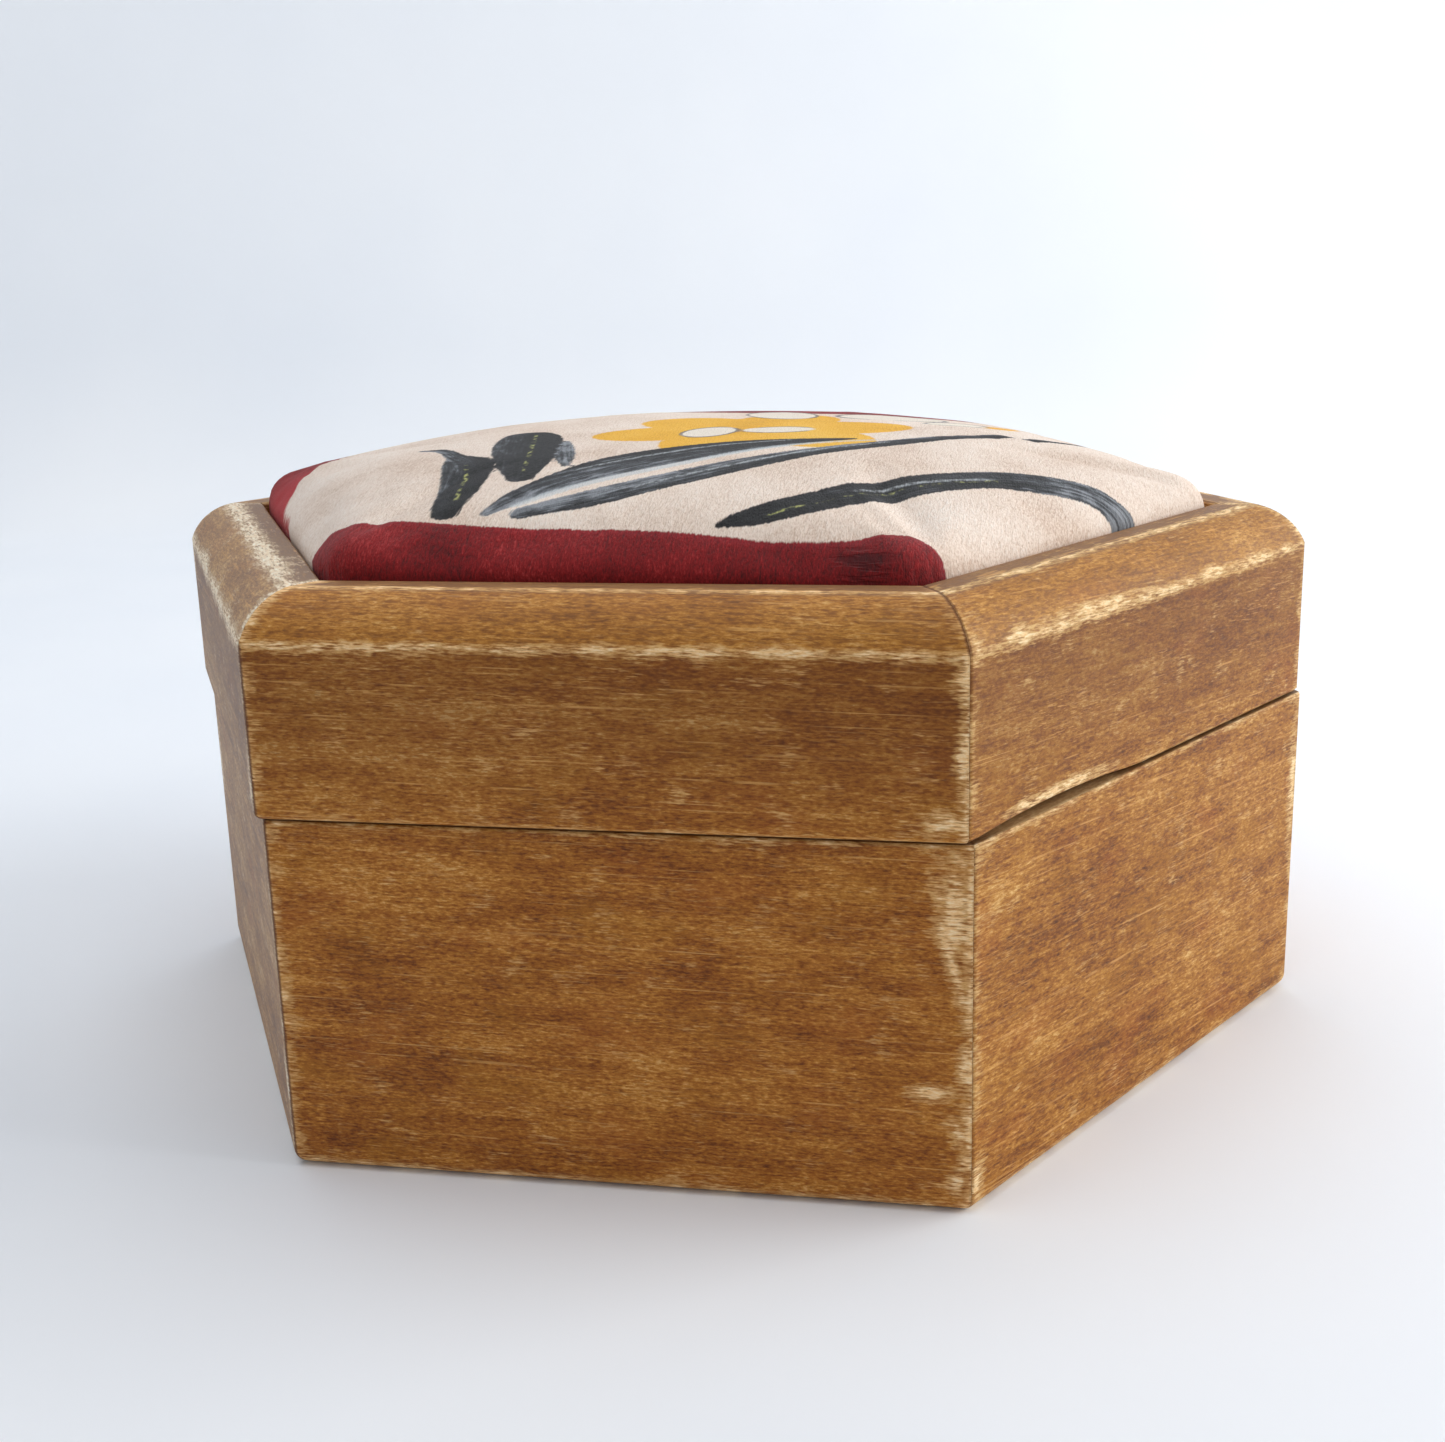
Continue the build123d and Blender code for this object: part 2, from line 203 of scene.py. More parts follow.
RED_LEFT = [(-44, 26), (-39.6, 33), (-34, 37.6), (-26, 42), (-19, 46), (-13, 53), (-16, 70),
            (-40, 64), (-60, 34)]
RED_RIGHT = [(11, 60), (14.5, 42), (17, 27), (18.5, 14), (21, 3), (26, -5), (33, -12.5), (41, -17.5),
             (52, -24), (70, -10), (50, 60)]
PUCKER = [(-29.4, -45.0, 3.0, 2.8, -60)]       # where the red fabric is creased by the front corner, and darkened there with painted shade
RED_HEM = 1.1                                  # the faded rim of a red area

# ---- View ----
VIEW_TURN = -48.62                             # degrees round the box from its front
VIEW_HEIGHT = 15.08                            # degrees above the horizon
VIEW_ROLL = -1.66
VIEW_TARGET = (-25.0, -21.4, 41.5)             # the point in the middle of the picture
VIEW_DISTANCE = 200.0
LENS = 45.8                                    # on a 36 mm sensor
WALL_BEHIND = 430.0                            # middle of the box to the backdrop


def linear_part(part):
    """One part of a colour, 0 to 255, without the curve that screens apply."""
    if part < 11:
        return part / 255 / 12.92
    return ((part / 255 + 0.055) / 1.055) ** 2.4


def srgb(red, green, blue):
    """A colour given as it looks, 0 to 255, as the linear colour that a shader takes."""
    return (linear_part(red), linear_part(green), linear_part(blue), 1.0)


# ---------------------------------------------------------------- shader graphs

class Number:
    """A number worked out by shader nodes, so that a material can be written as sums."""

    def __init__(self, graph, socket):
        self.graph = graph
        self.socket = socket

    def __add__(self, other):
        return self.graph.math("ADD", self, other)

    def __radd__(self, other):
        return self.graph.math("ADD", other, self)

    def __sub__(self, other):
        return self.graph.math("SUBTRACT", self, other)

    def __rsub__(self, other):
        return self.graph.math("SUBTRACT", other, self)

    def __mul__(self, other):
        return self.graph.math("MULTIPLY", self, other)

    def __rmul__(self, other):
        return self.graph.math("MULTIPLY", other, self)

    def __truediv__(self, other):
        return self.graph.math("DIVIDE", self, other)

    def __abs__(self):
        return self.graph.math("ABSOLUTE", self, 0.0)

    def rise(self, start, end):
        """0 below start, 1 above end, and smooth between them."""
        return self.graph.rise(self, start, end)


class Graph:
    """A material with a Principled shader, and short names for the nodes that feed it."""

    def __init__(self, name):
        self.material = bpy.data.materials.new(name)
        self.material.use_nodes = True
        self.tree = self.material.node_tree
        self.shader = self.tree.nodes["Principled BSDF"]

    def feed(self, socket, value):
        if isinstance(value, Number):
            value = value.socket
        if isinstance(value, bpy.types.NodeSocket):
            self.tree.links.new(value, socket)
        else:
            socket.default_value = value

    def node(self, kind, inputs, **settings):
        made = self.tree.nodes.new(kind)
        for name, value in settings.items():
            setattr(made, name, value)
        for name, value in inputs.items():
            self.feed(made.inputs[name], value)
        return made

    def math(self, operation, first, second=0.0):
        made = self.node("ShaderNodeMath", {0: first, 1: second}, operation=operation)
        return Number(self, made.outputs[0])

    def most(self, first, second):
        return self.math("MAXIMUM", first, second)

    def length(self, first, second):
        return self.math("SQRT", first * first + second * second)

    def rise(self, value, start, end):
        inputs = {"Value": value, "From Min": start, "From Max": end}
        made = self.node("ShaderNodeMapRange", inputs, interpolation_type="SMOOTHSTEP")
        return Number(self, made.outputs["Result"])

    def place(self):
        """The point's x, y and z on the resting object, in millimetres."""
        coordinates = self.node("ShaderNodeTexCoord", {})
        split = self.node("ShaderNodeSeparateXYZ", {0: coordinates.outputs["Object"]})
        return [Number(self, split.outputs[axis]) * (1 / MM) for axis in range(3)]

    def attribute(self, name):
        made = self.node("ShaderNodeAttribute", {}, attribute_name=name)
        return Number(self, made.outputs["Fac"])

    def point(self, x, y, z):
        return self.node("ShaderNodeCombineXYZ", {0: x, 1: y, 2: z}).outputs[0]

    def noise(self, place, size, seed, detail=2.0, roughness=0.5, distortion=0.0):
        """Cloudy noise about 0.5, whose lumps have the given size along each part of place."""
        x, y, z = (part * (1 / step) for part, step in zip(place, size))
        inputs = {
            "Vector": self.point(x + 17.3 * seed, y - 9.1 * seed, z + 5.7 * seed),
            "Scale": 1.0, "Detail": detail, "Roughness": roughness, "Distortion": distortion,
        }
        return Number(self, self.node("ShaderNodeTexNoise", inputs).outputs[0])

    def mix(self, share, first, second):
        """The first colour where share is 0, and the second where it is 1."""
        inputs = {0: share, 6: first, 7: second}
        return self.node("ShaderNodeMix", inputs, data_type="RGBA").outputs[2]

    def ramp(self, value, stops):
        """A colour that runs through stops, a list of (value, colour)."""
        made = self.node("ShaderNodeValToRGB", {0: value})
        elements = made.color_ramp.elements
        while len(elements) < len(stops):
            elements.new(0.5)
        for element, (position, colour) in zip(elements, stops):
            element.position = position
            element.color = colour
        return made.outputs[0]

    def bump(self, height, depth, strength=1.0):
        """Raises the surface by height times depth, which is in millimetres."""
        inputs = {"Height": height, "Distance": depth * MM, "Strength": strength}
        return self.node("ShaderNodeBump", inputs).outputs[0]

    def finish(self, colour, roughness, normal=None, **plain):
        self.feed(self.shader.inputs["Base Color"], colour)
        self.feed(self.shader.inputs["Roughness"], roughness)
        if normal is not None:
            self.feed(self.shader.inputs["Normal"], normal)
        for name, value in plain.items():
            self.shader.inputs[name.replace("_", " ")].default_value = value
        return self.material


# ---------------------------------------------------------------- wood

def board_place(graph, turn, sideways):
    """Along a wall's board, out from the middle of the box, and up."""
    x, y, z = graph.place()
    x = x - sideways
    angle = math.radians(60 * turn)
    along = x * math.cos(angle) + y * math.sin(angle)
    out = x * math.sin(angle) - y * math.cos(angle)
    return along, out, z


def grain_place(along, out, up, tilt):
    slope = math.tan(math.radians(tilt))
    return along, out, up - along * slope


def patch_field(graph, along, up, patches):
    """1 in the middle of a patch, 0 at its edge and below 0 away from it."""
    field = None
    for middle, height, half_length, half_height, lean in patches:
        over = along - middle - (up - height) * lean
        apart = graph.length(over / half_length, (up - height) / half_height)
        inside = 1.0 - apart
        field = inside if field is None else graph.most(field, inside)
    return field


def end_value(along, ends):
    """Goes from one end's value to the other's at the middle of the board."""
    first, last = ends
    return first + along.rise(-1.0, 1.0) * (last - first)


def cast(colours, shift):
    """A ramp's colours, all shifted the same way."""
    moved = []
    for place, colour in colours:
        shifted = [min(max(value + more, 0), 255) for value, more in zip(colour, shift)]
        moved.append((place, srgb(*shifted)))
    return moved


def stain_colour(graph, grain, seed, shift):
    """Streaky brown stain.  Also gives the noises that its height follows."""
    cloud = graph.noise(grain, (26, 14, 10), seed, detail=2)
    blotch = graph.noise(grain, (7, 3, 2.2), seed + 1, detail=3)
    band = graph.noise(grain, (90, 3, 2.2), seed + 2, detail=2)
    streak = graph.noise(grain, (11, 0.6, 0.45), seed + 3, detail=2)
    dash = graph.noise(grain, (1.3, 0.34, 0.24), seed + 4, detail=3, roughness=0.6)
    speck = graph.noise(grain, (0.62, 0.34, 0.25), seed + 5, detail=3, roughness=0.65)
    tone = 0.5 + (cloud - 0.5) * 0.40 + (blotch - 0.5) * 0.46 + (band - 0.5) * 0.2
    tone = tone + (streak - 0.5) * 0.26 + (dash - 0.5) * 0.70 + (speck - 0.5) * 0.78
    stain = graph.ramp(tone, cast([
        (0.18, (96, 46, 8)), (0.37, (140, 77, 19)), (0.52, (168, 103, 32)),
        (0.67, (196, 133, 57)), (0.86, (228, 180, 112)),
    ], shift))
    hue = graph.noise(grain, (12, 8, 6), seed + 6, detail=3)
    stain = graph.mix(hue.rise(0.54, 0.70) * 0.22, stain, srgb(168, 112, 26))
    stain = graph.mix(hue.rise(0.46, 0.32) * 0.20, stain, srgb(160, 82, 28))
    pore = graph.noise(grain, (0.9, 0.26, 0.15), seed + 7, detail=2).rise(0.59, 0.70)
    stain = graph.mix(pore * 0.34, stain, srgb(90, 44, 10))
    return stain, tone, dash, speck, pore


def board_tones_and_painted_light(graph, stain, up, bevel, dash):
    """The bevel, paler and golden: partly its tone, partly a painted highlight of the light from
    above; its torn fibres; the flat rim, darker and greyer: partly a greyer stain, partly painted
    shade; and the lid where stain pooled.
    """
    # painted highlight, in part: the upward-facing bevel is made paler and golden, as the light from
    # above makes it
    stain = graph.mix(bevel * 0.20, stain, srgb(196, 150, 80))
    stain = graph.mix(bevel * dash.rise(0.50, 0.36) * 0.5, stain, srgb(124, 74, 30))
    bevel_foot = RIM - BEVEL_DOWN
    pool = up.rise(bevel_foot - POOL_START, bevel_foot - POOL_END) * (1.0 - bevel)
    stain = graph.mix(pool * 0.42, stain, srgb(94, 50, 16))
    # painted shade, in part: the flat top of the rim is darkened and greyed, as though less light fell
    # on it
    return graph.mix(up.rise(RIM - 0.3, RIM - 0.05) * 0.72, stain, srgb(122, 90, 64))


def pale_lines(graph, grain, seed):
    """Where the stain is thin: short flecks, long fine lines and a few scratches."""
    fleck = graph.noise(grain, (1.5, 0.25, 0.15), seed, detail=2).rise(0.57, 0.70)
    fleck = fleck * graph.noise(grain, (14, 6, 3), seed + 1, detail=2).rise(0.46, 0.66)
    line = graph.noise(grain, (30, 0.8, 0.26), seed + 2, detail=2, roughness=0.35).rise(0.62, 0.72)
    line = line * graph.noise(grain, (5, 2, 1.2), seed + 3, detail=2).rise(0.40, 0.62)
    return graph.most(fleck * 0.5, line * 0.55)


def stained_wood(name, turn, sideways, wall, edges, patches, seed):
    """Stained and distressed birch for one wall.

    sideways is how far the wall's part of the box lies from the middle.  edges gives how worn
    each point is by the edges near it, and masks for the bare faces, the painted shade at the seam
    and the bevel.
    """
    board = BOARDS[wall]
    graph = Graph(name)
    along, out, up = board_place(graph, turn, sideways)
    grain = grain_place(along, out, up, board.tilt)
    stain, tone, dash, speck, pore = stain_colour(graph, grain, seed, board.cast)
    edge, bare, seam_shade, bevel = edges(graph, out, up, board.rub)
    stain = board_tones_and_painted_light(graph, stain, up, bevel, dash)
    colour = graph.mix(pale_lines(graph, grain, seed + 8), stain, srgb(222, 168, 98))

    mitre = (out * TAN30 - abs(along)) * COS30
    ends = end_value(along, board.wear)
    ends = ends + bevel * (end_value(along, board.hip_wear) - ends)
    corner = mitre.rise(2.0, 0.0) * ends
    teeth = graph.noise(grain, (1.8, 0.4, 0.2), seed + 12, detail=2, roughness=0.6) - 0.5
    lumps = graph.noise((along, out, up), (4, 4, 3), seed + 13, detail=3) - 0.5
    wear = graph.most(corner, edge) + teeth + lumps * 1.3
    patch = patch_field(graph, along, up, patches) * 0.7 + 0.22 + teeth * 1.1 + lumps * 1.5
    wear = graph.most(wear, patch * out.rise(APOTHEM - 1.6, APOTHEM - 0.6))
    fine = graph.most(dash, teeth + 0.5).rise(0.40, 0.64)
    thin = (wear.rise(0.08, 0.52) * (0.35 + fine * 0.75)).rise(0.0, 1.0)
    colour = graph.mix(thin * 0.8, colour, graph.ramp(dash * 0.5 + speck * 0.5, cast([
        (0.36, (184, 122, 58)), (0.60, (222, 176, 112)),
    ], board.cast)))
    worn = wear.rise(0.44, 0.92)
    raw = graph.ramp(dash * 0.5 + speck * 0.5, cast([
        (0.32, (224, 168, 104)), (0.48, (244, 200, 142)), (0.64, (254, 226, 182)),
    ], board.cast))
    colour = graph.mix((worn * (0.5 + fine * 0.7)).rise(0.0, 1.0), colour, raw)

    line = end_value(along, board.line)
    line = line + bevel * (end_value(along, board.hip_line) - line)
    joint = (mitre + (teeth + lumps) * 0.3).rise(0.34, 0.10) * line
    colour = graph.mix(joint * 0.8, colour, srgb(92, 48, 22))
    inside = graph.ramp(tone, [
        (0.2, srgb(140, 106, 66)), (0.5, srgb(172, 138, 94)), (0.8, srgb(198, 168, 124)),
    ])
    # painted shade: the faces that meet at the seam, the base's rim top and the lid's underside, are
    # darkened as the seam shades them
    colour = graph.mix(seam_shade * 0.8, colour, srgb(92, 60, 34))
    # in the finger scoop, where the base's rim top shows, the painted shade is left off and the face
    # takes the bare-wood colour
    if wall == "front":
        scoop = abs(along - SCOOP_PLACE).rise(SCOOP_HALF + 2.0, SCOOP_HALF - 2.0) * seam_shade
        colour = graph.mix(scoop, colour, inside)
    colour = graph.mix(bare, colour, inside)

    roughness = 0.55 + worn * 0.2 + bare * 0.2 + (dash - 0.5) * 0.25
    height = dash * 0.4 + speck * 0.5 - pore * 0.5 - joint * 0.8 - worn * 0.4
    normal = graph.bump(height, 0.06, 0.8)
    return graph.finish(colour, roughness, normal, Specular_IOR_Level=board.gloss)


def inner_faces(out):
    return out.rise(APOTHEM - BOARD + 0.4, APOTHEM - BOARD + 0.2)


def base_edges(graph, out, up, _):
    """Wear along the rim and the foot, the bare faces, the painted shade at the seam, and the bevel,
    which isn't there.
    """
    top = up.rise(BASE_TOP - 1.0, BASE_TOP - 0.1) * 0.46
    foot = up.rise(1.9, 0.5) * 0.56
    inner = inner_faces(out)
    # the base's rim top, which is given painted shade from the seam
    seam_shade = up.rise(BASE_TOP - 0.12, BASE_TOP - 0.03)
    under = up.rise(0.06, 0.02)
    return graph.most(top, foot), graph.most(inner, under), seam_shade, 0.0


def lid_edges(graph, out, up, rub):
    """Wear along both edges of the bevel and the rim, the bare faces, the painted shade at the seam,
    and the bevel.

    rub is how broad the wear along the bevel is.
    """
    foot_line = abs(up - (RIM - BEVEL_DOWN)) + (APOTHEM - out)
    head_line = abs(out - (APOTHEM - BEVEL_IN)) + (RIM - up) * 0.8
    strength = 0.52 + 0.14 * rub
    lines = graph.most(foot_line.rise(1.1 * rub, 0.0), head_line.rise(1.2 * rub, 0.0)) * strength
    seam_edge = up.rise(LID_FOOT + 0.8, LID_FOOT + 0.1) * 0.42
    inner = inner_faces(out) * up.rise(PANEL_TOP + 0.2, PANEL_TOP)
    # the lid's underside, which is given painted shade from the seam
    seam_shade = up.rise(LID_FOOT + 0.12, LID_FOOT + 0.03)
    bevel = up.rise(RIM - BEVEL_DOWN - 0.3, RIM - BEVEL_DOWN + 0.3)
    return graph.most(lines, seam_edge), inner, seam_shade, bevel


def plywood(name, seed):
    """Thin birch plywood, unstained and a little dirty."""
    graph = Graph(name)
    x, y, z = graph.place()
    grain = (x, y, z)
    wave = graph.noise(grain, (60, 5, 30), seed, detail=3, distortion=0.4)
    line = graph.noise(grain, (22, 0.7, 20), seed + 1, detail=2)
    dash = graph.noise(grain, (2.2, 0.22, 4), seed + 2, detail=2)
    stain = graph.noise(grain, (24, 20, 20), seed + 3, detail=3)
    tone = 0.5 + (wave - 0.5) * 0.9 + (line - 0.5) * 0.5 + (dash - 0.5) * 0.4
    colour = graph.ramp(tone, [
        (0.2, srgb(182, 146, 102)), (0.5, srgb(208, 176, 134)), (0.8, srgb(226, 200, 162)),
    ])
    colour = graph.mix(stain.rise(0.55, 0.75) * 0.4, colour, srgb(158, 122, 82))
    pore = graph.noise(grain, (1.6, 0.16, 3), seed + 4, detail=1).rise(0.62, 0.72)
    colour = graph.mix(pore * 0.4, colour, srgb(130, 92, 56))
    height = dash * 0.5 + line * 0.5 - pore * 0.4
    return graph.finish(colour, 0.62 + (dash - 0.5) * 0.2, graph.bump(height, 0.05))


# ---------------------------------------------------------------- metal, card and wadding

def brass(name, lines, seed):
    """Old brass: lines is the size of its brush marks, and screws have hardly any."""
    graph = Graph(name)
    x, y, z = graph.place()
    brushed = graph.noise((x, y, z), lines, seed, detail=2)
    tarnish = graph.noise((x, y, z), (3.2, 3.2, 3.2), seed + 1, detail=4, roughness=0.6)
    spots = graph.noise((x, y, z), (0.5, 0.5, 0.5), seed + 2, detail=2).rise(0.62, 0.74)
    colour = graph.ramp(tarnish + (brushed - 0.5) * 0.4, [
        (0.20, srgb(140, 104, 50)), (0.45, srgb(186, 146, 76)), (0.75, srgb(212, 176, 104)),
    ])
    colour = graph.mix(spots * 0.35, colour, srgb(96, 70, 40))
    roughness = 0.34 + (brushed - 0.5) * 0.3 + tarnish.rise(0.55, 0.3) * 0.25
    normal = graph.bump(brushed + spots * 0.5, 0.02)
    return graph.finish(colour, roughness, normal, Metallic=1.0)


def card():
    graph = Graph("grey_card")
    place = graph.place()
    fibre = graph.noise(place, (0.9, 0.9, 0.9), 3, detail=4, roughness=0.7)
    cloud = graph.noise(place, (14, 14, 14), 5, detail=2)
    tone = 0.5 + (fibre - 0.5) * 0.9 + (cloud - 0.5) * 0.4
    colour = graph.ramp(tone, [(0.25, srgb(132, 118, 100)), (0.75, srgb(184, 170, 150))])
    return graph.finish(colour, 0.86, graph.bump(fibre, 0.05))


def wadding_fibre():
    graph = Graph("wadding_fibre")
    x, y, z = graph.place()
    long = graph.noise((x + y, y - x, z), (3.0, 0.3, 0.3), 2, detail=3, distortion=1.2)
    cross = graph.noise((x - y, y + x, z), (3.0, 0.3, 0.3), 7, detail=3, distortion=1.2)
    fibre = graph.most(long, cross)
    colour = graph.ramp(fibre, [(0.35, srgb(206, 204, 198)), (0.7, srgb(246, 245, 240))])
    return graph.finish(colour, 0.95, graph.bump(fibre, 0.25))


# ---------------------------------------------------------------- pincushion

def ring_points(apothem, corner, per_side):
    """Evenly spaced points round a hexagon with rounded corners, from the middle of a corner."""
    corner = min(corner, 0.95 * apothem)
    arc = corner * math.pi / 6
    straight = 2 * (apothem - corner) * TAN30
    step = np.arange(per_side) / per_side * (2 * arc + straight)
    turn = np.where(step < arc, step / max(corner, 1e-9), math.pi / 6)
    last = step > arc + straight
    turn = np.where(last, math.pi / 6 + (step - arc - straight) / max(corner, 1e-9), turn)
    slide = np.clip(step - arc, 0, straight)
    reach = (apothem - corner) / COS30
    rounds = []
    for side in range(6):
        start = math.pi / 3 * side
        normal = start + math.pi / 6
        x = reach * math.cos(start) - slide * math.sin(normal) + corner * np.cos(start + turn)
        y = reach * math.sin(start) + slide * math.cos(normal) + corner * np.sin(start + turn)
        rounds.append(np.stack([x, y], axis=1))
    return np.concatenate(rounds)


def dome_height(plan):
    """The top of the cushion before its shoulder, above the resting plane."""
    apart = np.hypot(plan[:, 0] - CROWN_PLACE[0], plan[:, 1] - CROWN_PLACE[1])
    return RIM + DOME_HEIGHT - DOME_SAG * (apart / CUSHION_REACH) ** DOME_CURVE


def cover_rings(inset, bottom, turn_in, step):
    """The cushion's surface as rings of points, from its crown outwards and down its side.

    inset is how far it lies inside the cushion's own surface, and turn_in how far it runs back
    underneath.
    """
    reach = CUSHION_REACH - inset
    shoulder = DOME_SHOULDER - inset
    flat = reach - shoulder
    count = round(flat / COS30 / step)
    rings = []
    for ring in range(count + 1):
        apothem = flat * ring / count
        if ring == 0:
            plan = np.zeros((1, 2))
        else:
            plan = ring_points(apothem, CUSHION_CORNER * (ring / count) ** 2, ring)
        height = dome_height(plan) - inset
        rings.append(np.column_stack([plan, height]))
    edge_plan = ring_points(reach, CUSHION_CORNER, count)
    turns = max(4, round(shoulder * math.pi / 2 / step))
    for number in range(1, turns + 1):
        angle = math.pi / 2 * number / turns
        plan = ring_points(flat + shoulder * math.sin(angle), CUSHION_CORNER, count)
        drop = shoulder * (1 - math.cos(angle))
        rings.append(np.column_stack([plan, dome_height(plan) - inset - drop]))
    side_top = rings[-1][:, 2]
    down = max(3, round((float(side_top.min()) - bottom) / step))
    for number in range(1, down + 1):
        height = side_top + (bottom - side_top) * number / down
        rings.append(np.column_stack([edge_plan, height]))
    if turn_in > 0:
        across = round(turn_in / step)
        for number in range(1, across + 1):
            plan = ring_points(reach - turn_in * number / across, CUSHION_CORNER, count)
            rings.append(np.column_stack([plan, np.full(len(plan), bottom)]))
    return rings


def ring_faces(rings):
    """Triangles between rings of growing size, and squares between rings of equal size."""
    faces = []
    first = 0
    for inner, outer in zip(rings, rings[1:]):
        start = first + len(inner)
        many, few = len(outer), len(inner)
        if many == few:
            for index in range(many):
                after = (index + 1) % many
                faces.append((first + index, start + index, start + after, first + after))
        else:
            side = many // 6
            for index in range(many):
                sector, step = divmod(index, side)
                after = start + (index + 1) % many
                near = first + (sector * (side - 1) + step) % few
                faces.append((start + index, after, near))
                if step < side - 1:
                    faces.append((near, after, first + (sector * (side - 1) + step + 1) % few))
        first = start
    return faces


def mesh_object(name, points, faces):
    mesh = bpy.data.meshes.new(name)
    mesh.from_pydata([tuple(p) for p in points], [], faces)
    mesh.shade_smooth()
    made = bpy.data.objects.new(name, mesh)
    bpy.context.scene.collection.objects.link(made)
    return made


# ---------------------------------------------------------------- the print

def smooth_line(points, per_span=8):
    """A Catmull-Rom line through points, which may carry a width as a third number."""
    given = np.array(points, float)
    padded = np.vstack([2 * given[0] - given[1], given, 2 * given[-1] - given[-2]])
    line = []
    for a, b, c, d in zip(padded, padded[1:], padded[2:], padded[3:]):
        for share in np.arange(per_span) / per_span:
            line.append(0.5 * (2 * b + (c - a) * share + (2 * a - 5 * b + 4 * c - d) * share ** 2
                               + (3 * b - a - 3 * c + d) * share ** 3))
    line.append(given[-1])
    return np.array(line)


def nearest_on_line(plan, line):
    """For each point: its distance from the line, how far along that is, and its side."""
    best = np.full(len(plan), 1e9)
    along = np.zeros(len(plan))
    side = np.zeros(len(plan))
    width = np.zeros(len(plan))
    for number, (start, end) in enumerate(zip(line, line[1:])):
        step = end[:2] - start[:2]
        share = np.clip((plan - start[:2]) @ step / max(step @ step, 1e-9), 0, 1)
        apart = plan - start[:2] - share[:, None] * step
        distance = np.hypot(apart[:, 0], apart[:, 1])
        wide = start[2] + share * (end[2] - start[2]) if len(start) > 2 else 0.0
        nearer = distance - wide < best
        best = np.where(nearer, distance - wide, best)
        along = np.where(nearer, (number + share) / (len(line) - 1), along)
        side = np.where(nearer, step[0] * apart[:, 1] - step[1] * apart[:, 0], side)
        width = np.where(nearer, wide, width)
    return best, along, np.sign(side), width


def leaf_fields(plan):
    """How deep each point is in a leaf, how grey it is, and its place along and across it."""
    depth = np.full(len(plan), -99.0)
    tone = np.zeros(len(plan))
    run = np.zeros(len(plan))
    across = np.zeros(len(plan))
    for number, (name, points) in enumerate(LEAVES.items()):
        line = smooth_line(points)
        outside, along, side, width = nearest_on_line(plan, line)
        length = np.hypot(*np.diff(line[:, :2], axis=0).T).sum()
        start, end, slant = LEAF_TONES[name]
        sideways = side * (outside + width)
        slanted = slant * np.clip(sideways / np.maximum(width, 0.3), -1, 1)
        shade = start + (end - start) * along + slanted
        nearer = -outside > depth
        depth = np.where(nearer, -outside, depth)
        tone = np.where(nearer, shade, tone)
        run = np.where(nearer, along * length + 80 * number, run)
        across = np.where(nearer, sideways, across)
    return depth, tone, run, across


def stroke_field(plan, strokes):
    """How deep each point is in the nearest stroke."""
    depth = np.full(len(plan), -99.0)
    for points in strokes.values():
        outside = nearest_on_line(plan, smooth_line(points))[0]
        depth = np.maximum(depth, -outside)
    return depth


def oval_field(plan, ovals):
    """Depth inside the nearest oval: each is middle x, y, half length, half width and turn."""
    depth = np.full(len(plan), -99.0)
    for x, y, half_length, half_width, turn in ovals:
        angle = math.radians(turn)
        along = (plan[:, 0] - x) * math.cos(angle) + (plan[:, 1] - y) * math.sin(angle)
        across = (plan[:, 1] - y) * math.cos(angle) - (plan[:, 0] - x) * math.sin(angle)
        inside = 1 - np.hypot(along / half_length, across / half_width)
        depth = np.maximum(depth, inside * min(half_length, half_width))
    return depth


def flower_petals():
    petals = []
    for number in range(PETALS):
        turn = PETAL_TURN + 360 / PETALS * number
        x = FLOWER[0] + PETAL_REACH * math.cos(math.radians(turn))
        y = FLOWER[1] + PETAL_REACH * math.sin(math.radians(turn))
        petals.append((x, y, PETAL_ROUND * 1.15, PETAL_ROUND * 0.85, turn))
    return petals


def area_field(plan, outline):
    """Depth inside a closed smooth outline."""
    closed = smooth_line(outline + outline[:1])
    distance = nearest_on_line(plan, closed)[0]
    inside = np.zeros(len(plan), bool)
    for (x1, y1), (x2, y2) in zip(closed, closed[1:]):
        if y1 == y2:
            continue
        crosses = (y1 > plan[:, 1]) != (y2 > plan[:, 1])
        edge = x1 + (plan[:, 1] - y1) / (y2 - y1) * (x2 - x1)
        inside ^= crosses & (plan[:, 0] < edge)
    return np.where(inside, distance, -distance)


def paint_print(piece, plan):
    """Keeps the print on the mesh as distances, which the material turns into edges."""
    leaf, tone, run, across = leaf_fields(plan)
    heart = oval_field(plan, [(*FLOWER, PETAL_REACH, PETAL_REACH * 0.9, 0)])
    yellow = np.maximum(oval_field(plan, flower_petals()), heart)
    yellow = np.maximum(yellow, oval_field(plan, YELLOW_DABS))
    white = oval_field(plan, INNER_PETALS + WHITE_PETALS)
    red = np.maximum(area_field(plan, RED_FRONT), area_field(plan, RED_LEFT))
    red = np.maximum(red, area_field(plan, RED_RIGHT))
    red = np.minimum(red, -white - PETAL_LINE)
    fields = {
        "leaf": leaf, "leaf_tone": tone, "leaf_run": run, "leaf_across": across,
        "vein": stroke_field(plan, VEINS), "wash": stroke_field(plan, PALE_STROKES),
        "yellow": yellow, "white": white, "red": red, "pucker": oval_field(plan, PUCKER),
    }
    for name, values in fields.items():
        made = piece.data.attributes.new(name, "FLOAT", "POINT")
        made.data.foreach_set("value", np.clip(values, -20, 999).astype(np.float32))


